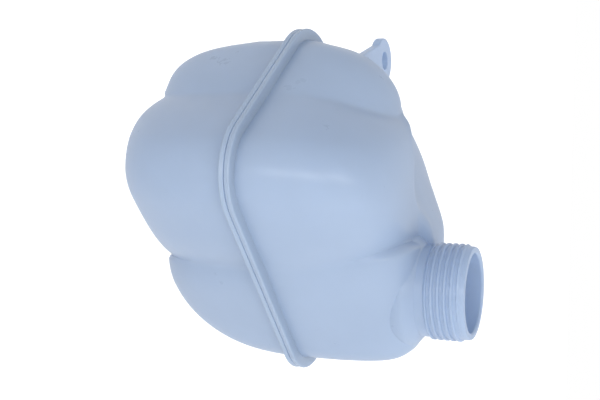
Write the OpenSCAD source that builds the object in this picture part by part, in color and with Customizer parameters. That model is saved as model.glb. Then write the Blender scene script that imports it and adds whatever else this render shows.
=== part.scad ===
// Coolant expansion tank for a car's engine bay.
// Two translucent polypropylene mouldings are hot-plate welded at a flange.
// The modules work from the weld plane, z = 0, with the filler neck up and the front at -y,
// and the finished parts are set down with their origin at the centre of the neck's mouth.
// Each moulding swells into lobes, and webs at the creases between them baffle the coolant.

/* [Weld flange] */
// Reach of the flange from the centre to its tail end (-x)
tail_reach = 93; // [86:1:100]
// Outline radius at the tail end
tail_r = 38; // [30:1:44]
// Reach of the flange from the centre to its neck end (+x)
head_reach = 94; // [90:1:100]
// Outline radius at the neck end
head_r = 30; // [26:1:36]
// Reach of the flange from the centre to its front corner (-y)
front_reach = 98; // [92:1:106]
// Place of the front corner along x
front_x = -18; // [-24:1:-12]
// Outline radius at the front corner
front_r = 30; // [26:1:36]
// Reach of the flange from the centre to its back corner (+y)
back_reach = 88; // [82:1:96]
// Place of the back corner along x
back_x = -10; // [-16:1:0]
// Outline radius at the back corner
back_r = 40; // [34:1:46]
// Width of the flange outside the body wall
flange_w = 6; // [5:0.5:8]
// Thickness of each half of the flange
flange_t = 2.9; // [2.4:0.1:4]

/* [Skin] */
// Wall thickness of both mouldings
wall = 2.6; // [2:0.1:3.2]
// Thickness of the baffle webs
web_t = 2; // [1.6:0.1:3]
// Radius of the flow holes through the webs
flow_r = 8; // [5:0.5:9]

/* [Lower lobes] */
// Depth of the tail lobe under the weld plane
tail_depth = 80; // [70:1:90]
// Depth of the front lobe under the weld plane
front_depth = 85; // [80:1:100]
// Depth of the neck end's lobe under the weld plane
head_depth = 79; // [70:1:90]
// Depth at the crease between the tail and front lobes
tail_crease_depth = 73; // [64:1:80]
// Depth at the crease between the front and neck end's lobes
head_crease_depth = 70; // [62:1:78]

/* [Upper lobes] */
// Height of the tail lobe over the weld plane
tail_height = 53; // [50:1:66]
// Height of the front lobe over the weld plane
front_height = 67; // [60:1:72]
// Height of the neck end's lobe over the weld plane
head_height = 69; // [64:1:72]
// Height at the crease between the tail and front lobes
tail_crease_height = 50; // [46:1:58]
// Height at the crease between the front and neck end's lobes
head_crease_height = 62; // [56:1:66]

/* [Creases] */
// Place along x of the crease between the tail and front lobes
tail_crease_x = -57; // [-60:1:-52]
// Place along x of the crease between the front and neck end's lobes
head_crease_x = 32; // [28:1:36]
// Width over which a crease draws the walls in
crease_w = 17; // [14:1:26]
// Depth of each crease at the weld plane
crease_d = 7; // [3:0.5:9]

/* [Filler neck] */
// Place of the neck's axis along x
neck_x = 46; // [42:0.5:48]
// Outer radius over the thread's crests
neck_r = 25.5; // [24:0.5:28]
// Radius of the filler bore
neck_bore_r = 20.5; // [18:0.5:21]
// Height of the mouth over the weld plane
neck_top = 95; // [88:1:98]
// Depth of the relief groove under the thread
relief_d = 1.2; // [0.5:0.1:1.5]
// Height of the relief groove
relief_h = 4; // [3:0.5:5]

/* [Fixing lug] */
// Distance of the lug's hole from the tail end of the flange
lug_in = 15; // [13:1:21]
// Place of the lug's hole along y
lug_y = 51; // [46:1:54]
// Height of the lug's top face over the weld plane
lug_z = 29; // [24:1:30]
// Radius of the lug's rounded end
lug_r = 13; // [11:0.5:15]
// Thickness of the lug
lug_t = 5; // [4:0.5:6]
// Radius of the fixing hole
lug_hole_r = 5; // [3.5:0.25:6]

/* [Hose nipples] */
// Outer radius of the outlet nipple to the coolant pump
outlet_r = 10; // [8:0.5:12]
// Radius of the outlet's bore
outlet_bore_r = 7.5; // [5:0.5:8]
// Length of the outlet nipple outside the skin
outlet_len = 30; // [24:1:36]
// Depth of the outlet's axis under the weld plane
outlet_z = 42; // [38:1:50]
// Outer radius of the degas nipple from the radiator
degas_r = 4; // [3:0.5:5]
// Radius of the degas nipple's bore
degas_bore_r = 2; // [1.5:0.25:2.5]
// Length of the degas nipple outside the skin
degas_len = 24; // [20:1:30]
// Height of the degas nipple's axis over the weld plane
degas_z = 20; // [16:1:26]
// Height of the barb that keeps a hose on
barb_h = 1; // [0.6:0.1:1.4]

/* [Hidden] */

// Steps of each outline corner, stations along the body, and points over each section
corner_steps = 12;
stations = 40;
arch_steps = 24;
// How far a cutting shape passes through the face it opens
cut = 1;
// The arched sections start half way up the flange, and the webs stop short of the weld plane
foot_z = flange_t / 2;
web_foot = 0.5;

// Corner circles of the outline, anticlockwise from the tail: x, y, radius
function corners(inset) = [
    [-tail_reach + tail_r, 0, tail_r - inset],
    [front_x, -front_reach + front_r, front_r - inset],
    [head_reach - head_r, 0, head_r - inset],
    [back_x, back_reach - back_r, back_r - inset],
];

// Direction of the outward normal of the line that touches two circles
function side_normal(a, b) =
    atan2(b.y - a.y, b.x - a.x) - 90 - asin((b.z - a.z) / norm([b.x - a.x, b.y - a.y]));

// Outline round a ring of circles, as arcs joined by straight sides
function outline(circles) =
    let (n = len(circles))
    [for (i = [0 : n - 1])
        let (before = circles[(i + n - 1) % n], c = circles[i], after = circles[(i + 1) % n],
             a0 = side_normal(before, c), turn = (side_normal(c, after) - a0 + 720) % 360)
        for (k = [0 : corner_steps])
            let (a = a0 + turn * k / corner_steps)
            [c.x + c.z * cos(a), c.y + c.z * sin(a)]];

// Reach of the body's plan from y = 0 at the place x, to the front (-1) or the back (1)
function arc_reach(c, x) =
    c.z > abs(x - c.x) ? abs(c.y) + sqrt(c.z * c.z - pow(x - c.x, 2)) : 0;
function touch(c, ang) = [c.x + c.z * cos(ang), c.y + c.z * sin(ang)];
function line_reach(a, b, x, side) =
    let (ang = side < 0 ? side_normal(a, b) : side_normal(b, a), p = touch(a, ang), q = touch(b, ang))
    x < p.x || x > q.x ? 0 : abs(p.y + (q.y - p.y) * (x - p.x) / (q.x - p.x));
function plan_reach(x, side) =
    let (c = corners(flange_w), mid = side < 0 ? c[1] : c[3])
    max(arc_reach(c[0], x), arc_reach(mid, x), arc_reach(c[2], x),
        line_reach(c[0], mid, x, side), line_reach(mid, c[2], x, side));

ends = [-tail_reach + flange_w, head_reach - flange_w];
creases = [tail_crease_x, head_crease_x];

// Lobes of each moulding: crown x, crown y, rise, fullness along x, fullness along y
upper_lobes = [
    [-20, 5, tail_height, 2.0, 2.0],
    [-9, -20, front_height, 2.5, 2.7],
    [44, 0, head_height, 5.0, 3.6],
];
upper_creases = [tail_crease_height, head_crease_height];
lower_lobes = [
    [-50, 0, tail_depth, 3.0, 2.4],
    [-22, -30, front_depth, 2.8, 2.3],
    [24, 0, head_depth, 2.3, 2.4],
];
lower_creases = [tail_crease_depth, head_crease_depth];
// How far each crease leans towards the front lobe's crown as it climbs
upper_lean = [20, -14];
lower_lean = [0, 0];
// The upper roof's far side, which climbs to the neck: x, rise, fullness along y
upper_far = [[-57, tail_height, 2.1], [-44, 51, 3], [-32, 53.5, 3.5], [-20, 56.5, 4], [-8, 60.5, 4],
    [4, 65.5, 4], [16, 70, 4.5], [30, 71.5, 5], [44, head_height, 3.6]];
lower_far = [];
// Where the step to the far side starts behind the crown, and how wide it is
step_in = 3;
step_w = 12;

// How far the inner skin looks to each side to stay under the outer one
guard = 0.7 * wall;

// Share of the way from a lobe's end up to its crown, as a superellipse
function swell(u, fullness) = pow(max(0, 1 - pow(min(1, abs(u)), fullness)), 1 / fullness);

// Rise of the roof at x: each lobe swells from the rises at its two ends
function roof(x, lobes, crease_rises) =
    let (i = x < creases[0] ? 0 : x < creases[1] ? 1 : 2,
         l = lobes[i],
         peak = min(max(l[0], i == 0 ? ends[0] : creases[i - 1]), i == 2 ? ends[1] : creases[i]),
         left = i == 0 ? [ends[0], 0] : [creases[i - 1], crease_rises[i - 1]],
         right = i == 2 ? [ends[1], 0] : [creases[i], crease_rises[i]],
         foot = x < peak ? left : right)
    foot.y + (l[2] - foot.y) * swell((x - peak) / (foot.x - peak), l[3]);

// How far the walls are drawn in at x, from 1 on a crease to 0 on a lobe
function pinch(x) = max([for (c = creases) pow(max(0, 1 - abs(x - c) / crease_w), 2)]);

// Rise from 0 to 1 with a soft start and end
function ease(t) = let (u = max(0, min(1, t))) u * u * (3 - 2 * u);

// Value of a table at x, by its column
function column(rows, i, x) = lookup(x, [for (r = rows) [r[0], r[i]]]);

// Rise of the roof at a place, where it steps behind the crown to its far side's rise
function rise_at(x, y, lobes, crease_rises, far) =
    let (high = roof(x, lobes, crease_rises),
         own = len(far) == 0 || x < far[0][0] || x > far[len(far) - 1][0])
    own ? high : high + (column(far, 1, x) - high) * ease((y - column(lobes, 1, x) - step_in) / step_w);

// Reach of the body's wall at x on one side, drawn in at the creases
function wall_reach(x, side) = plan_reach(x, side) - crease_d * pinch(x);

// Section at x, from the front of the weld plane over the roof to the back. An inset section
// stays inside its neighbours along the body too, so that the wall keeps its thickness.
function section(x, lobes, crease_rises, lean, far, inset) =
    let (near = inset == 0 ? [0] : [-guard, 0, guard],
         crown = column(lobes, 1, x), p = column(lobes, 4, x),
         far_p = len(far) == 0 || x < far[0][0] || x > far[len(far) - 1][0] ? p : column(far, 2, x),
         front = max(0, min([for (d = near) wall_reach(x + d, -1)]) - inset),
         back = max(0, min([for (d = near) wall_reach(x + d, 1)]) - inset),
         shift = lookup(x, [[ends[0], 0], [creases[0], lean[0]], [lobes[1][0], 0],
                            [creases[1], lean[1]], [ends[1], 0]]))
    [for (k = [0 : arch_steps])
        let (a = 180 * k / arch_steps, c = abs(cos(a)), s = sin(a), behind = a > 90,
             q = behind ? far_p : p, r = pow(pow(c, q) + pow(s, q), 1 / q), u = c / r, w = s / r,
             y = behind ? crown + (back - crown) * u : crown - (crown + front) * u,
             step = ease((y - crown - step_in) / step_w),
             rise = min([for (d = near, e = near) rise_at(x + d, y + e, lobes, crease_rises, far)]))
        [x + shift * w * w * (1 - step), y, foot_z + max(0, rise - inset - foot_z) * w]];

// Places of the stations, closer together towards both ends
function station_x(i, inset) =
    let (mid = (ends[0] + ends[1]) / 2, half = (ends[1] - ends[0]) / 2 - inset)
    mid - half * cos(180 * i / stations);

// Place of the wall's surface on the back at x and z, drawn in by the inset
function back_wall(x, z, lobes, crease_rises, inset) =
    let (p = lookup(x, [for (l = lobes) [l[0], l[4]]]), crown = lookup(x, [for (l = lobes) [l[0], l[1]]]),
         back = plan_reach(x, 1) - crease_d * pinch(x) - inset,
         w = (z - foot_z) / (roof(x, lobes, crease_rises) - inset - foot_z))
    crown + (back - crown) * swell(w, p);

// The mouldings' common places
outlet_x = 20;
degas_x = -25;
flow_y = -8;
// How far a sleeve that stands on the skin reaches through it
sink = 5;
// Conical collar that carries the neck on the roof
collar_w = 5;
collar_h = 5;
// The lug's root along x, where it grows from the tail lobe's wall
lug_x = lug_in - tail_reach;
lug_root = [lug_x - 1, lug_x + 29];
lug_steps = 6;

// Solid under the lofted roof at an inset, with straight walls down to the foot and a flat bottom
module loft(lobes, crease_rises, lean, far, inset, foot) {
    n = arch_steps + 3;
    tips = [for (side = [-1, 1]) let (x = side < 0 ? ends[0] + inset : ends[1] - inset)
        [[x, 0, foot], [x, 0, foot_z]]];
    rings = [for (i = [1 : stations - 1])
        let (s = section(station_x(i, inset), lobes, crease_rises, lean, far, inset), t = s[arch_steps])
        each concat([[s[0].x, s[0].y, foot]], s, [[t.x, t.y, foot]])];
    last = 2 + len(rings);
    // Point k of station i, where each end of the body has two points, at the foot and over it
    function at(i, k) =
        let (over = k % (n - 1) == 0 ? 0 : 1)
        i == 0 ? over : i == stations ? last + over : 2 + (i - 1) * n + k;
    function facet(f) = [for (j = [0 : 3]) if (f[j] != f[(j + 1) % 4]) f[j]];
    polyhedron(concat(tips[0], rings, tips[1]), [for (i = [0 : stations - 1]) for (k = [0 : n - 1])
        let (f = facet([at(i, k), at(i, (k + 1) % n), at(i + 1, (k + 1) % n), at(i + 1, k)]))
        if (len(f) > 2) f], convexity = 6);
}

// A baffle web under a crease, with a flow hole at the weld plane and one near the roof
module web(i, lobes, crease_rises, lean, far) {
    arch = section(creases[i], lobes, crease_rises, [0, 0], far, wall / 2);
    tilt = atan(lean[i] / crease_rises[i]);
    translate([creases[i], 0, 0]) difference() {
        multmatrix([[1, 0, tan(tilt), 0], [0, 1, 0, 0], [0, 0, 1, 0]])
            rotate([90, 0, 90]) linear_extrude(web_t, center = true)
                polygon(concat([[arch[0].y, web_foot]], [for (p = arch) [p.y, p.z]],
                    [[arch[arch_steps].y, web_foot]]));
        for (z = [0, crease_rises[i] * 0.7]) translate([lean[i] * z / crease_rises[i], flow_y, z])
            rotate([0, 90, 0]) cylinder(r = flow_r, h = flow_r * 3, center = true, $fn = 32);
    }
}

// A hose nipple along +y, with a barb near its end
module nipple(r, from, to) {
    rotate([-90, 0, 0]) {
        translate([0, 0, from]) cylinder(r = r, h = to - from, $fn = 48);
        translate([0, 0, to - 3 * barb_h - r / 2]) cylinder(r1 = r + barb_h, r2 = r, h = 3 * barb_h, $fn = 48);
    }
}

module nipple_bore(r, from, to) {
    rotate([-90, 0, 0]) translate([0, 0, from]) cylinder(r = r, h = to - from, $fn = 48);
}

// The wall between two lofts with its flange, the fittings that stand on it, and its webs
module moulding(lobes, crease_rises, lean, far) {
    difference() {
        union() {
            loft(lobes, crease_rises, lean, far, 0, foot_z / 2);
            linear_extrude(flange_t) polygon(outline(corners(0)));
            children();
        }
        loft(lobes, crease_rises, lean, far, wall, -cut);
    }
    for (i = [0, 1]) web(i, lobes, crease_rises, lean, far);
}

module lower_shell() {
    start = back_wall(outlet_x, outlet_z, lower_lobes, lower_creases, 0);
    color([0.72, 0.80, 0.92]) mirror([0, 0, 1]) difference() {
        moulding(lower_lobes, lower_creases, lower_lean, lower_far)
            translate([outlet_x, start, outlet_z]) nipple(outlet_r, -sink, outlet_len);
        translate([outlet_x, start, outlet_z]) nipple_bore(outlet_bore_r, -sink - cut, outlet_len + cut);
    }
}

// Filler neck over the thread's crests, with its collar and the relief groove between them
module neck() {
    groove_r = neck_r - relief_d;
    groove_z = head_height + relief_h;
    translate([neck_x, 0, 0]) rotate_extrude($fn = 96) polygon([
        [neck_bore_r - cut, head_height - sink - collar_h],
        [neck_r, head_height - sink - collar_h],
        [neck_r + collar_w, head_height - collar_h],
        [groove_r, head_height],
        [groove_r, groove_z],
        [neck_r, groove_z + relief_d],
        [neck_r, neck_top - relief_d],
        [groove_r, neck_top],
        [neck_bore_r - cut, neck_top],
    ]);
}

// Lug on the tail lobe, a tongue parallel to the weld plane with a round fixing hole
module lug() {
    root = [for (i = [0 : lug_steps])
        let (x = lug_root[0] + (lug_root[1] - lug_root[0]) * i / lug_steps)
        [x, back_wall(x, lug_z, upper_lobes, upper_creases, wall / 2)]];
    along = atan2(root[0].y - root[lug_steps].y, root[0].x - root[lug_steps].x);
    tip = [for (i = [0 : corner_steps])
        let (a = along - 180 + 180 * i / corner_steps)
        [lug_x + lug_r * cos(a), lug_y + lug_r * sin(a)]];
    translate([0, 0, lug_z - lug_t]) difference() {
        linear_extrude(lug_t) polygon(concat(root, tip));
        translate([lug_x, lug_y, -cut]) cylinder(r = lug_hole_r, h = lug_t + 2 * cut, $fn = 48);
    }
}

module upper_shell() {
    start = back_wall(degas_x, degas_z, upper_lobes, upper_creases, 0);
    color([0.72, 0.80, 0.92]) difference() {
        moulding(upper_lobes, upper_creases, upper_lean, upper_far) {
            neck();
            lug();
            translate([degas_x, start, degas_z]) nipple(degas_r, -sink, degas_len);
        }
        translate([neck_x, 0, head_height - sink - collar_h - cut])
            cylinder(r = neck_bore_r, h = neck_top, $fn = 96);
        translate([degas_x, start, degas_z]) nipple_bore(degas_bore_r, -sink - cut, degas_len + cut);
    }
}

// The origin is the centre of the filler neck's mouth
origin = [neck_x, 0, neck_top];

translate(-origin) lower_shell();
translate(-origin) upper_shell();
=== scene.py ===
import bpy, math
import numpy as np
from mathutils import Matrix, Vector


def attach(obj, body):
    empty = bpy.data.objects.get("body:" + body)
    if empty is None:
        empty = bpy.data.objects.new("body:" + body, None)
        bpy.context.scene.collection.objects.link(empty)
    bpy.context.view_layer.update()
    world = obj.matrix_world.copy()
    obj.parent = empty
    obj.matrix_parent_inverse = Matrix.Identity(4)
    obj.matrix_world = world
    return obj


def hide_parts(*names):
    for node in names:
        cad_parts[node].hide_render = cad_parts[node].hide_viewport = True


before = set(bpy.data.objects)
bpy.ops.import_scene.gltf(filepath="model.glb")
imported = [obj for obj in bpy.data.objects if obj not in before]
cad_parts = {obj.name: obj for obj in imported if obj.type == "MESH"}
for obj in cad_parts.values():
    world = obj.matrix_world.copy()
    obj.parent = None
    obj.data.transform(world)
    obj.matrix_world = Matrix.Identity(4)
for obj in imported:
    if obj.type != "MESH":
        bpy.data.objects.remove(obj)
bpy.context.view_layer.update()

# View of the tank: in the picture it lies on its head lobe, and its neck points right.
# The camera stands about half a metre off, in front of the weld flange and a little above it,
# and is rolled a quarter turn; the tank itself stays upright in its own frame.
MM = 0.001
WELD_CENTRE = np.array([-46.0, 0.0, -95.0])
VIEW_TILT = math.radians(23)
VIEW_PITCH = math.radians(4.9)
VIEW_PLACE = (-3.0, -520.0, 44.0)
FOCAL_PIXELS = 943
IMAGE_WIDTH = 600


def tank_from_picture(v):
    """Turns a direction given as right, away and up in the picture into the tank's frame."""
    right, away, up = v
    return Vector((-up, right * math.sin(VIEW_TILT) + away * math.cos(VIEW_TILT),
                   right * math.cos(VIEW_TILT) - away * math.sin(VIEW_TILT)))


def tank_place(v):
    """A place in the picture's directions, in millimetres from the weld plane's centre."""
    return (tank_from_picture(v) + Vector(WELD_CENTRE)) * MM


def picture_camera():
    data = bpy.data.cameras.new("picture_camera")
    data.sensor_width = 36
    data.lens = FOCAL_PIXELS / IMAGE_WIDTH * data.sensor_width
    data.clip_start = 0.01
    camera = bpy.data.objects.new("picture_camera", data)
    bpy.context.collection.objects.link(camera)
    right = tank_from_picture((1, 0, 0))
    back = -tank_from_picture((0, math.cos(VIEW_PITCH), -math.sin(VIEW_PITCH)))
    up = back.cross(right)
    turn = Matrix((right, up, back)).transposed()
    camera.matrix_world = Matrix.Translation(tank_place(VIEW_PLACE)) @ turn.to_4x4()
    bpy.context.scene.camera = camera


picture_camera()

# Lower shell: an injection moulding of natural polypropylene, about 2.6 mm thick.
# It swells into three lobes with a crease between each two, and a baffle web stands under
# each crease; its flat rim is hot-plate welded to the upper shell's.

# The corners of the flange's plan: x, y and radius of a circle
TAIL = (-55.0, 0.0, 38.0)
FRONT = (-18.0, -68.0, 30.0)
HEAD = (64.0, 0.0, 30.0)
BACK = (-10.0, 48.0, 40.0)
FLANGE_W = 6.0
FLANGE_T = 2.9
WALL = 2.6
FOOT = FLANGE_T / 2
ENDS = (TAIL[0] - TAIL[2] + FLANGE_W, HEAD[0] + HEAD[2] - FLANGE_W)
CREASES = (-57.0, 32.0)
CREASE_W = 17.0
CREASE_D = 7.0
# Lobes: crown x, rise, fullness along x; crowns: x, crown y, fullness along y;
# creases: rise; lean: shift along x at the crown; fade: share of a crease left at the foot
LOWER = {"lobes": ((-50, 80, 3.0), (-22, 85, 2.8), (24, 79, 2.3)),
         "crowns": ((-58, -2, 2.4), (-48, -26, 2.3), (-14, -30, 2.3), (24, 0, 2.4)),
         "creases": (73, 70), "lean": (0, 0), "far": (), "fade": 0.8}
FADE_POWER = 0.8
# Where the roof steps to its far side behind the crown, and how wide the step is
STEP_IN = 3.0
STEP_W = 12.0
# The same for the lean of the creases, which ends there
LEAN_END = (-6.0, 44.0)
# Places along the body, about every 0.2 mm, and how widely the bends there are rounded
ALONG = np.linspace(ENDS[0], ENDS[1], 901)
ROUND_CREASE = 1.1
ROUND_ROOF = 0.9
ROUND_FAR = 3.0
ROUND_LINES = 5.0


def side_normal(a, b):
    """Direction of the outward normal of the line that touches two circles."""
    dx, dy = b[0] - a[0], b[1] - a[1]
    return math.atan2(dy, dx) - math.pi / 2 - math.asin((b[2] - a[2]) / math.hypot(dx, dy))


def inset(circle, by):
    return (circle[0], circle[1], circle[2] - by)


def outline(circles, steps):
    """Points round a ring of circles, as arcs joined by straight sides."""
    points = []
    for i, c in enumerate(circles):
        start = side_normal(circles[i - 1], c)
        turn = (side_normal(c, circles[(i + 1) % len(circles)]) - start) % (2 * math.pi)
        for k in range(steps + 1):
            a = start + turn * k / steps
            points.append((c[0] + c[2] * math.cos(a), c[1] + c[2] * math.sin(a)))
    return np.array(points)


def arc_reach(c, x):
    inside = np.maximum(c[2] ** 2 - (x - c[0]) ** 2, 0)
    return np.where(inside > 0, abs(c[1]) + np.sqrt(inside), 0)


def line_reach(a, b, x, front):
    angle = side_normal(a, b) if front else side_normal(b, a)
    px, py = a[0] + a[2] * math.cos(angle), a[1] + a[2] * math.sin(angle)
    qx, qy = b[0] + b[2] * math.cos(angle), b[1] + b[2] * math.sin(angle)
    return np.where((x < px) | (x > qx), 0, abs(py + (qy - py) * (x - px) / (qx - px)))


def plan_reach(x, front):
    """Reach of the body's plan from its long axis, to the front or the back."""
    tail, head = inset(TAIL, FLANGE_W), inset(HEAD, FLANGE_W)
    middle = inset(FRONT if front else BACK, FLANGE_W)
    reach = np.maximum(arc_reach(tail, x), arc_reach(head, x))
    reach = np.maximum(reach, arc_reach(middle, x))
    reach = np.maximum(reach, line_reach(tail, middle, x, front))
    return np.maximum(reach, line_reach(middle, head, x, front))


def swell(u, fullness):
    return np.maximum(0, 1 - np.minimum(1, np.abs(u)) ** fullness) ** (1 / fullness)


def roof(x, form):
    """Rise over the weld plane: each lobe swells from the rises at its two ends."""
    rise = np.zeros_like(x)
    edges = (ENDS[0],) + CREASES + (ENDS[1],)
    feet = (0,) + tuple(form["creases"]) + (0,)
    for i, (crown, top, fullness) in enumerate(form["lobes"]):
        peak = min(max(crown, edges[i]), edges[i + 1])
        halves = [feet[j] + (top - feet[j]) * swell((x - peak) / (edges[j] - peak), fullness)
                  for j in (i, i + 1)]
        mine = (x >= edges[i]) & (x <= edges[i + 1])
        rise = np.where(mine, np.where(x < peak, *halves), rise)
    return rise


def soften(values, width):
    """Rounds what bends sharply along the body, as a mould's creases are rounded."""
    weight = np.exp(-0.5 * ((ALONG[:, None] - ALONG[None, :]) / width) ** 2)
    return weight @ values / weight.sum(axis=1)


def profiles(form):
    """What shapes the sections, as values along the body."""
    x = ALONG
    places, crowns, powers = zip(*form["crowns"])
    pinch = np.zeros_like(x)
    for crease in CREASES:
        pinch = np.maximum(pinch, np.maximum(0, 1 - np.abs(x - crease) / CREASE_W) ** 2)
    rise = far_rise = roof(x, form)
    power = far_power = np.interp(x, places, powers)
    if form["far"]:
        xs, far_rises, far_powers = zip(*form["far"])
        own = (x < xs[0]) | (x > xs[-1])
        far_rise = np.where(own, rise, np.interp(x, xs, far_rises))
        far_power = np.where(own, power, np.interp(x, xs, far_powers))
    middle = form["lobes"][1][0]
    shift = np.interp(x, [ENDS[0], CREASES[0], middle, CREASES[1], ENDS[1]],
                      [0, form["lean"][0], 0, form["lean"][1], 0])
    return {"pinch": soften(pinch, ROUND_CREASE), "rise": soften(rise, ROUND_ROOF),
            "far_rise": soften(far_rise, ROUND_FAR), "far_power": soften(far_power, ROUND_FAR),
            "power": soften(power, ROUND_LINES), "shift": soften(shift, ROUND_LINES),
            "crown": soften(np.interp(x, places, crowns), ROUND_LINES)}


def wall_sections(x, form):
    """The values along the body at each x, with the wall's reach to the front and the back."""
    v = {name: np.interp(x, ALONG, value) for name, value in form["along"].items()}
    for side in ("front", "back"):
        v[side] = plan_reach(x, side == "front")
    return {name: value[:, None] for name, value in v.items()}


def arches(x, form, by, steps):
    """Sections of a moulding at x, each from the front foot over the roof to the back foot.
    An inset section stays under its neighbours too, so that the wall keeps its thickness."""
    near = (-by, 0.0, by) if by else (0.0,)
    around = [wall_sections(x + d, form) for d in near]
    v = wall_sections(x, form)
    a = np.linspace(0, np.pi, steps + 1)[None, :]
    behind = a > np.pi / 2
    fade = form["fade"] + (1 - form["fade"]) * np.sin(a) ** FADE_POWER
    front, back = [np.maximum(0, np.min([n[side] - n["pinch"] * CREASE_D * fade
                                         for n in around], axis=0) - by)
                   for side in ("front", "back")]
    power = np.where(behind, v["far_power"], v["power"])
    c, s = np.abs(np.cos(a)), np.abs(np.sin(a))
    r = (c ** power + s ** power) ** (1 / power)
    u, w = c / r, s / r
    y = v["crown"] + np.where(behind, back - v["crown"], -(v["crown"] + front)) * u

    def step(n, y, start, width):
        t = np.clip((y - n["crown"] - start) / width, 0, 1)
        return t * t * (3 - 2 * t)

    rises = [n["rise"] + (n["far_rise"] - n["rise"]) * step(n, y + e, STEP_IN, STEP_W)
             for n in around for e in near]
    rise = np.maximum(FOOT, np.min(rises, axis=0) - by)
    shift = v["shift"] * w ** 2 * (1 - step(v, y, *LEAN_END))
    return np.stack([x[:, None] + shift, y, FOOT + (rise - FOOT) * w], axis=-1)


def new_object(name, verts, faces):
    """A mesh object from points in millimetres from the weld plane's centre."""
    mesh = bpy.data.meshes.new(name)
    mesh.from_pydata(((np.asarray(verts, float) + WELD_CENTRE) * MM).tolist(), [], faces)
    mesh.validate()
    piece = bpy.data.objects.new(name, mesh)
    bpy.context.collection.objects.link(piece)
    return piece


def upright(verts, form):
    """The lower moulding is worked out with its roof up, and turned over here."""
    return verts * np.array([1, 1, -1 if form is LOWER else 1])


def facing(faces, form):
    return [f[::-1] for f in faces] if form is LOWER else faces


def loft(form, by, foot, stations, steps):
    """Closed solid under the roof at an inset, with straight walls down to a flat foot."""
    turn = np.linspace(0, np.pi, stations + 1)[1:-1]
    x = (ENDS[0] + ENDS[1]) / 2 - ((ENDS[1] - ENDS[0]) / 2 - by) * np.cos(turn)
    grid = arches(x, form, by, steps)
    low = grid[:, [0, -1]] * [1, 1, 0] + [0, 0, foot]
    rings = np.concatenate([low[:, :1], grid, low[:, 1:]], axis=1)
    n = rings.shape[1]
    ends = [[(e, 0, foot), (e, 0, FOOT)] for e in (ENDS[0] + by, ENDS[1] - by)]
    verts = np.concatenate([ends[0], rings.reshape(-1, 3), ends[1]])

    def at(i, k):
        """Number of a point: the two ends have only a foot and a point over it."""
        over = 0 if k % (n - 1) == 0 else 1
        if i == 0:
            return over
        return len(verts) - 2 + over if i == stations else 2 + (i - 1) * n + k

    faces = []
    for i in range(stations):
        for k in range(n):
            quad = (at(i, k), at(i + 1, k), at(i + 1, (k + 1) % n), at(i, (k + 1) % n))
            corner = tuple(p for j, p in enumerate(quad) if p != quad[j - 1])
            if len(corner) > 2:
                faces.append(corner)
    return new_object("loft", upright(verts, form), facing(faces, form))


def stacked(name, rows, form=None):
    """A closed solid through rows of points, each a loop round it, flat at first and last."""
    count = len(rows[0])
    verts = np.array([p for row in rows for p in row], float)
    faces = [tuple(range(count))[::-1], tuple(range(len(verts) - count, len(verts)))]
    for r in range(len(rows) - 1):
        for i in range(count):
            j = (i + 1) % count
            faces.append((r * count + i, r * count + j,
                          (r + 1) * count + j, (r + 1) * count + i))
    return new_object(name, upright(verts, form), facing(faces, form))


def turned(name, profile, steps, place, axis="Z"):
    """A closed solid of revolution through (radius, height) pairs, along +x, +y or +z."""
    rows = []
    for r, h in profile:
        ring = []
        for k in range(steps):
            a = 2 * math.pi * k / steps
            p = (r * math.cos(a), r * math.sin(a), h)
            turn = {"X": (p[2], p[0], p[1]), "Y": (p[1], p[2], p[0]), "Z": p}[axis]
            ring.append(tuple(turn[j] + place[j] for j in range(3)))
        rows.append(ring)
    return stacked(name, rows)


def joined(base, others, operation="UNION"):
    """Merges closed meshes into the first one, or cuts it with them, and deletes the others."""
    for other in others:
        step = base.modifiers.new("join", "BOOLEAN")
        step.operation = operation
        step.solver = "MANIFOLD"
        step.object = other
        depsgraph = bpy.context.evaluated_depsgraph_get()
        merged = bpy.data.meshes.new_from_object(base.evaluated_get(depsgraph))
        base.modifiers.clear()
        base.data = merged
        bpy.data.objects.remove(other)
    return base


RIM_ROUND = 0.9
EDGE_STEPS = 5
PLAN_STEPS = 40
# Inset and height where the weld leaves a groove between the two flanges
WELD_GROOVE = [(0.9, 0.0), (0.4, 0.3)]


def rounded_edge(height, radius, top_only=False):
    """Insets and heights up a flat plate's edge, with its corners rounded."""
    quarter = [math.pi / 2 * k / EDGE_STEPS for k in range(EDGE_STEPS + 1)]
    top = [(radius * (1 - math.cos(a)), height - radius + radius * math.sin(a))
           for a in quarter]
    return top if top_only else [(by, height - z) for by, z in reversed(top)] + top


def flange(form):
    """Half of the weld flange, with a rounded edge and a narrow groove along the weld."""
    rows = []
    for by, z in WELD_GROOVE + rounded_edge(FLANGE_T, RIM_ROUND, top_only=True):
        plan = outline([inset(c, by) for c in (TAIL, FRONT, HEAD, BACK)], PLAN_STEPS)
        rows.append([(x, y, z) for x, y in plan])
    return stacked("flange", rows, form)


WEB_T = 2.0
WEB_FOOT = 0.5
WEB_GRIP = 0.4
WEB_STEPS = 60
FLOW_R = 8.0
FLOW_Y = -8.0
FLOW_SIDES = 48
# Share of the crease's rise at which a web's second flow hole sits
FLOW_RISE = 0.7


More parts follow.
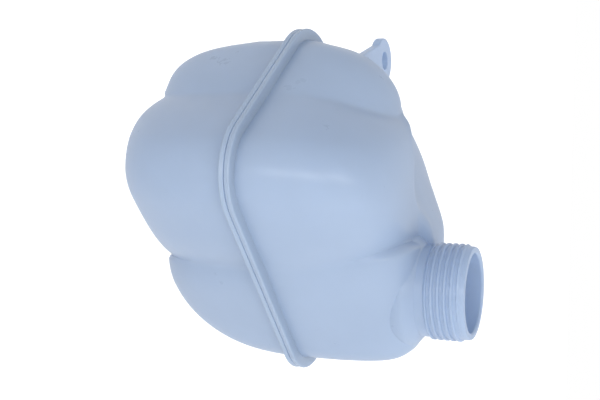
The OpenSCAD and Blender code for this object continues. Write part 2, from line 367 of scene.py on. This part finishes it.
def web(i, form):
    """A baffle web under a crease, with a flow hole at the weld plane and one near the roof."""
    arch = arches(np.array([CREASES[i]]), form, WALL - WEB_GRIP, WEB_STEPS)[0]
    lean, rise = form["lean"][i], form["creases"][i]
    loop = [(arch[0][1], WEB_FOOT)] + [(p[1], p[2]) for p in arch] + [(arch[-1][1], WEB_FOOT)]
    rows = [[(CREASES[i] + lean * z / rise + side * WEB_T / 2, y, z) for y, z in loop]
            for side in (-1, 1)]
    piece = stacked("web", rows, form)
    through = [(FLOW_R, -1.5 * FLOW_R), (FLOW_R, 1.5 * FLOW_R)]
    for z in (0, rise * FLOW_RISE):
        place = (CREASES[i] + lean * z / rise, FLOW_Y, -z if form is LOWER else z)
        joined(piece, [turned("hole", through, FLOW_SIDES, place, "X")], "DIFFERENCE")
    return piece


# Sides: of the nipple's outside and of its bore, round the axis
OUTLET = {"x": 20.0, "y": 60.7, "z": -42.0, "r": 10.0, "bore": 7.5, "len": 30.0,
          "sides": (72, 72)}
BARB = 1.0
# Where a nipple and its bore start, inside the wall that it stands on
NIPPLE_ROOT = -6


def hose_nipple(size):
    """A hose nipple on the back wall, with a barb and a rounded nose, and its bore."""
    place = (size["x"], size["y"], size["z"])
    r, length = size["r"], size["len"]
    start = length - 3 * BARB - r / 2
    outside = [(r, NIPPLE_ROOT), (r, start), (r + BARB * 0.8, start + 0.05),
               (r + BARB, start + 0.3), (r + BARB * 0.9, start + BARB), (r, start + 3 * BARB),
               (r, length - 0.6), (r - 0.2, length - 0.15), (r - 0.6, length)]
    bore = [(size["bore"], NIPPLE_ROOT), (size["bore"], length + 1)]
    return (turned("nipple", outside, size["sides"][0], place, "Y"),
            turned("bore", bore, size["sides"][1], place, "Y"))


# Points along and over the outer skin and the cavity, and how far the cavity passes the weld
SKIN_GRID = (200, 120)
CAVITY_GRID = (110, 70)
CAVITY_FOOT = -1


def moulding(name, form, added, cut):
    """Skin and flange with what is added, hollowed out and cut, with the webs put in."""
    shell = loft(form, 0, FOOT / 2, *SKIN_GRID)
    joined(shell, [flange(form)] + added)
    joined(shell, [loft(form, WALL, CAVITY_FOOT, *CAVITY_GRID)] + cut, "DIFFERENCE")
    joined(shell, [web(i, form) for i in (0, 1)])
    shell.name = name
    return shell


LOWER["along"] = profiles(LOWER)
outlet, outlet_bore = hose_nipple(OUTLET)
lower = moulding("lower_moulding", LOWER, [outlet], [outlet_bore])

# Upper shell: the moulding that carries the filler neck, the fixing lug and a degas nipple.
# Its roof climbs in three steps to the lobe under the neck, and its creases lean towards
# the front lobe; the neck has a conical collar, a relief groove and a coarse outer thread.

# The far side of its roof climbs evenly to the neck: x, rise, fullness along y
UPPER = {"lobes": ((-20, 53, 2.0), (-9, 67, 2.5), (44, 69, 5.0)),
         "crowns": ((-60, 5, 2.0), (-44, -14, 2.5), (-9, -20, 2.7), (44, 0, 3.6)),
         "creases": (50, 62), "lean": (14, -14), "fade": 0.1,
         "far": ((-57, 53, 2.1), (-44, 51, 3), (-32, 53.5, 3.5), (-20, 56.5, 4), (-8, 60.5, 4),
                 (4, 65.5, 4), (16, 70, 4.5), (30, 71.5, 5), (44, 69, 3.6))}
UPPER["along"] = profiles(UPPER)
NECK = {"x": 46.0, "r": 25.5, "bore": 20.5, "top": 95.0, "depth": 1.2}
NECK_ROOT = NECK["r"] - NECK["depth"]
NECK_SIDES = 240
# Radius and height up the collar and the relief groove
COLLAR = [(20.0, 34.0), (23.4, 42.0), (26.2, 49.0), (28.4, 55.0), (29.7, 60.0), (30.0, 62.6),
          (29.7, 64.2), (28.9, 65.4), (25.7, 68.2), (24.9, 68.8), (NECK_ROOT, 69.4),
          (NECK_ROOT, 72.6)]
# Inset and depth at the lip's outer edge; what the mouth adds to the bore, with its height
LIP = [(0, 1.6), (0.1, 0.8), (0.35, 0.25), (0.9, 0)]
MOUTH = [(0, 58 - NECK["top"]), (0, -1.2), (0.3, -0.5), (1.0, 0), (1.0, 2)]
MOUTH_SIDES = 120
# The thread's turns, and the heights of the rows that carry them
THREAD_PITCH = 3.4
THREAD_FROM = 74.0
THREAD_TO = 91.4
THREAD_ROWS = np.arange(72.8, 93.0, 0.17)
# How far outside these heights it starts to rise, and over what height it reaches full depth
THREAD_LEAD = 0.6
THREAD_FADE = 1.6
# Shares of half a pitch that the ridge and its flank take
THREAD_RIDGE = 0.62
THREAD_FLANK = 0.38


def thread_form(turns):
    """Share of the thread's depth along one pitch: flank, rounded crest, flank, root."""
    t = np.clip((THREAD_RIDGE - np.abs((turns % 1) - 0.5) * 2) / THREAD_FLANK, 0, 1)
    return t ** 2 * (3 - 2 * t)


def filler_neck():
    """The neck's solid outside: collar, relief groove and a thread that runs in and out."""
    turn = np.arange(NECK_SIDES) / NECK_SIDES
    rows = [[(r, z)] * NECK_SIDES for r, z in COLLAR]
    for z in THREAD_ROWS:
        along = (z - THREAD_FROM) / THREAD_PITCH - turn
        run = (np.clip((z - THREAD_FROM + THREAD_LEAD) / THREAD_FADE, 0, 1)
               * np.clip((THREAD_TO - z + THREAD_LEAD) / THREAD_FADE, 0, 1))
        depth = NECK["depth"] * thread_form(along) * run
        rows.append([(NECK_ROOT + d, z) for d in depth])
    rows += [[(NECK_ROOT - by, NECK["top"] - z)] * NECK_SIDES for by, z in LIP]
    points = []
    for row in rows:
        points.append([(NECK["x"] + r * math.cos(2 * math.pi * t),
                        r * math.sin(2 * math.pi * t), z) for (r, z), t in zip(row, turn)])
    return stacked("neck", points)


def neck_bore():
    """What is cut out of the neck: the bore down into the chamber, with a rounded mouth."""
    profile = [(NECK["bore"] + by, z) for by, z in MOUTH]
    return turned("mouth", profile, MOUTH_SIDES, (NECK["x"], 0, NECK["top"]))


LUG = {"x": -78.0, "y": 51.0, "z": 29.0, "r": 13.0, "t": 5.0, "hole": 5.0, "root": (-79, -49)}
LUG_ROUND = 1.0
LUG_FEET = 7
LUG_STEPS = 48
LUG_HOLE_SIDES = 64
# What the rounded edge of the lug's hole adds to its radius, and at what depth
HOLE_EDGE = [(0.6, -0.3), (0.3, 0.12), (0, 0.6)]


def back_wall(x, z):
    """Place along y of the upper shell's outer back wall at x and z, for the lug's root."""
    v = {name: float(value[0, 0])
         for name, value in wall_sections(np.array([x]), UPPER).items()}
    across = float(swell((z - FOOT) / (v["rise"] - FOOT), v["power"]))
    return v["crown"] + (v["back"] - v["crown"]) * across


def lug():
    """A tongue from the tail lobe's wall, parallel to the weld plane, with rounded edges."""
    xs = np.linspace(LUG["root"][0], LUG["root"][1], LUG_FEET)
    feet = [(x, back_wall(x, LUG["z"]) - WALL / 2) for x in xs]
    along = math.atan2(feet[0][1] - feet[-1][1], feet[0][0] - feet[-1][0])
    side = Vector((math.cos(along), math.sin(along)))
    under = LUG["z"] - LUG["t"]
    rows = []
    for by, z in rounded_edge(LUG["t"], LUG_ROUND):
        root = []
        for j, (x, y) in enumerate(feet):
            lean = by * (1 - 2 * j / (len(feet) - 1))
            root.append((x - side.x * lean, y - side.y * lean))
        r = LUG["r"] - by
        nose = []
        for k in range(LUG_STEPS + 1):
            a = along - math.pi + math.pi * k / LUG_STEPS
            nose.append((LUG["x"] + r * math.cos(a), LUG["y"] + r * math.sin(a)))
        rows.append([(x, y, under + z) for x, y in root + nose])
    profile = [(LUG["hole"] + by, z) for by, z in HOLE_EDGE]
    profile += [(LUG["hole"] + by, LUG["t"] - z) for by, z in reversed(HOLE_EDGE)]
    hole = turned("hole", profile, LUG_HOLE_SIDES, (LUG["x"], LUG["y"], under))
    return joined(stacked("lug", rows), [hole], "DIFFERENCE")


DEGAS = {"x": -25.0, "y": 75.4, "z": 20.0, "r": 4.0, "bore": 2.0, "len": 24.0,
         "sides": (48, 32)}
degas, degas_bore = hose_nipple(DEGAS)
upper = moulding("upper_moulding", UPPER, [filler_neck(), lug(), degas],
                 [neck_bore(), degas_bore])

# Natural polypropylene: a milky, slightly blue plastic that lets part of the light through
# from behind. Its colour and gloss vary a little, and the surface keeps a fine matte grain
# and faint ripples from the mould.

# The two ends of its colour and of its roughness, and the stretch of the noise between them
CLOUD_COLOURS = ((0.458, 0.573, 0.748), (0.486, 0.604, 0.782))
ROUGHNESS_ENDS = ((0.27,) * 3, (0.34,) * 3)
NOISE_STRETCH = (0.3, 0.7)
LIGHT_THROUGH = 0.34
SHARP_ANGLE = math.radians(32)


def polypropylene():
    material = bpy.data.materials.new("polypropylene")
    material.use_nodes = True
    nodes, links = material.node_tree.nodes, material.node_tree.links
    nodes.clear()
    out = nodes.new("ShaderNodeOutputMaterial")
    place = nodes.new("ShaderNodeTexCoord")

    def noise(scale, detail, roughness):
        node = nodes.new("ShaderNodeTexNoise")
        node.inputs["Scale"].default_value = scale
        node.inputs["Detail"].default_value = detail
        node.inputs["Roughness"].default_value = roughness
        links.new(place.outputs["Object"], node.inputs["Vector"])
        return node.outputs["Fac"]

    def ramp(source, colours):
        node = nodes.new("ShaderNodeValToRGB")
        for element, at, colour in zip(node.color_ramp.elements, NOISE_STRETCH, colours):
            element.position = at
            element.color = (*colour, 1)
        links.new(source, node.inputs["Fac"])
        return node.outputs["Color"]

    def bump(height, strength, distance):
        node = nodes.new("ShaderNodeBump")
        node.inputs["Strength"].default_value = strength
        node.inputs["Distance"].default_value = distance
        links.new(height, node.inputs["Height"])
        return node

    cloud = ramp(noise(scale=22, detail=4, roughness=0.55), CLOUD_COLOURS)
    gloss = ramp(noise(scale=60, detail=5, roughness=0.6), ROUGHNESS_ENDS)
    ripple = bump(noise(scale=45, detail=2, roughness=0.4), strength=0.12, distance=0.002)
    grain = bump(noise(scale=2600, detail=2, roughness=0.5), strength=0.06, distance=0.0003)
    links.new(ripple.outputs["Normal"], grain.inputs["Normal"])
    surface = nodes.new("ShaderNodeBsdfPrincipled")
    surface.inputs["IOR"].default_value = 1.49
    surface.inputs["Specular IOR Level"].default_value = 0.5
    links.new(cloud, surface.inputs["Base Color"])
    links.new(gloss, surface.inputs["Roughness"])
    links.new(grain.outputs["Normal"], surface.inputs["Normal"])
    through = nodes.new("ShaderNodeBsdfTranslucent")
    links.new(cloud, through.inputs["Color"])
    links.new(grain.outputs["Normal"], through.inputs["Normal"])
    mix = nodes.new("ShaderNodeMixShader")
    mix.inputs["Fac"].default_value = LIGHT_THROUGH
    links.new(surface.outputs["BSDF"], mix.inputs[1])
    links.new(through.outputs["BSDF"], mix.inputs[2])
    links.new(mix.outputs["Shader"], out.inputs["Surface"])
    return material


PLASTIC = polypropylene()
for piece, node in ((lower, "lower_shell"), (upper, "upper_shell")):
    piece.data.shade_smooth()
    piece.data.set_sharp_from_angle(angle=SHARP_ANGLE)
    piece.data.materials.clear()
    piece.data.materials.append(PLASTIC)
    even = piece.modifiers.new("even_normals", "WEIGHTED_NORMAL")
    even.keep_sharp = True
    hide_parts(node)
    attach(piece, "root")

# Studio: a bright white room that leaves soft light from every side on the milky plastic.
# Three long strips in front, from level to high, draw the thin highlights along the lobes,
# and the white floor lies well under the tank and fills most of the picture behind it.

# Strips: degrees above level, lean towards the tail, metres and watts
STRIP_ANGLES = (-5, 30, 65)
STRIP_LEAN = -0.17
STRIP_DISTANCE = 1.2
STRIP_WIDTH = 0.11
STRIP_LENGTH = 0.62
STRIP_POWER = 2.3


def strip_light(name, angle):
    """An area light in front of the tank, whose length lies in an upright plane through it."""
    data = bpy.data.lights.new(name, "AREA")
    data.shape = "RECTANGLE"
    data.size, data.size_y = STRIP_WIDTH, STRIP_LENGTH
    data.energy = STRIP_POWER
    light = bpy.data.objects.new(name, data)
    centre = Vector(WELD_CENTRE) * MM
    direction = Vector((STRIP_LEAN, -math.cos(angle), math.sin(angle))).normalized()
    light.location = centre + direction * STRIP_DISTANCE
    light.rotation_euler = (centre - light.location).to_track_quat("-Z", "Y").to_euler()
    bpy.context.collection.objects.link(light)


for i, angle in enumerate(STRIP_ANGLES):
    strip_light(f"strip_{i}", math.radians(angle))


def seen_rays(nodes, links):
    """1 for the rays that show the background: camera, glossy and transmission rays."""
    rays = nodes.new("ShaderNodeLightPath")
    seen = rays.outputs["Is Camera Ray"]
    for kind in ("Is Glossy Ray", "Is Transmission Ray"):
        either = nodes.new("ShaderNodeMath")
        either.operation = "MAXIMUM"
        links.new(seen, either.inputs[0])
        links.new(rays.outputs[kind], either.inputs[1])
        seen = either.outputs["Value"]
    return seen


# The room's light: its level, what it loses straight above and below, and what it gains
# towards its bright side, which is the head's
ROOM_LEVEL = 1.2
DARK_ENDS = 0.36
ROOM_SLOPE = 0.85
BRIGHT_SIDE = (0.9, 0.25, -0.1)


def white_room():
    """White light, stronger from the head's side than from the tail's and weaker from above
    and below, in a room that itself shows plain white."""
    world = bpy.data.worlds.new("white_room")
    world.use_nodes = True
    nodes, links = world.node_tree.nodes, world.node_tree.links
    background = nodes["Background"]
    background.inputs["Color"].default_value = (1, 1, 1, 1)
    place = nodes.new("ShaderNodeTexCoord")
    toward = nodes.new("ShaderNodeVectorMath")
    toward.operation = "DOT_PRODUCT"
    links.new(place.outputs["Generated"], toward.inputs[0])
    toward.inputs[1].default_value = Vector(BRIGHT_SIDE).normalized() * ROOM_SLOPE
    upward = nodes.new("ShaderNodeSeparateXYZ")
    links.new(place.outputs["Generated"], upward.inputs["Vector"])
    ends = nodes.new("ShaderNodeMath")
    ends.operation = "MULTIPLY"
    links.new(upward.outputs["Z"], ends.inputs[0])
    links.new(upward.outputs["Z"], ends.inputs[1])
    darker = nodes.new("ShaderNodeMath")
    darker.operation = "MULTIPLY_ADD"
    darker.inputs[1].default_value = -DARK_ENDS
    darker.inputs[2].default_value = ROOM_LEVEL
    links.new(ends.outputs["Value"], darker.inputs[0])
    level = nodes.new("ShaderNodeMath")
    links.new(toward.outputs["Value"], level.inputs[0])
    links.new(darker.outputs["Value"], level.inputs[1])
    seen = nodes.new("ShaderNodeMix")
    links.new(seen_rays(nodes, links), seen.inputs["Factor"])
    links.new(level.outputs["Value"], seen.inputs["A"])
    seen.inputs["B"].default_value = 1.0
    links.new(seen.outputs["Result"], background.inputs["Strength"])
    bpy.context.scene.world = world


FLOOR_GREY = 0.7
FLOOR_GLOW = 0.5
FLOOR_REACH = 3.0
FLOOR_HEIGHT = -0.32


def floor():
    """A pale floor that takes the tank's shadow and glows only where the background shows."""
    material = bpy.data.materials.new("white_floor")
    material.use_nodes = True
    nodes, links = material.node_tree.nodes, material.node_tree.links
    surface = nodes["Principled BSDF"]
    surface.inputs["Base Color"].default_value = (FLOOR_GREY, FLOOR_GREY, FLOOR_GREY, 1)
    surface.inputs["Roughness"].default_value = 0.9
    glow = nodes.new("ShaderNodeEmission")
    glow.inputs["Strength"].default_value = FLOOR_GLOW
    both = nodes.new("ShaderNodeAddShader")
    links.new(surface.outputs["BSDF"], both.inputs[0])
    links.new(glow.outputs["Emission"], both.inputs[1])
    seen = nodes.new("ShaderNodeMixShader")
    links.new(seen_rays(nodes, links), seen.inputs["Fac"])
    links.new(surface.outputs["BSDF"], seen.inputs[1])
    links.new(both.outputs["Shader"], seen.inputs[2])
    links.new(seen.outputs["Shader"], nodes["Material Output"].inputs["Surface"])
    mesh = bpy.data.meshes.new("floor")
    corners = [(x * FLOOR_REACH, y * FLOOR_REACH, FLOOR_HEIGHT)
               for x, y in ((-1, -1), (1, -1), (1, 1), (-1, 1))]
    mesh.from_pydata(corners, [], [(0, 1, 2, 3)])
    ground = bpy.data.objects.new("floor", mesh)
    ground.data.materials.append(material)
    bpy.context.collection.objects.link(ground)


white_room()
floor()
bpy.context.scene.view_settings.view_transform = "Standard"
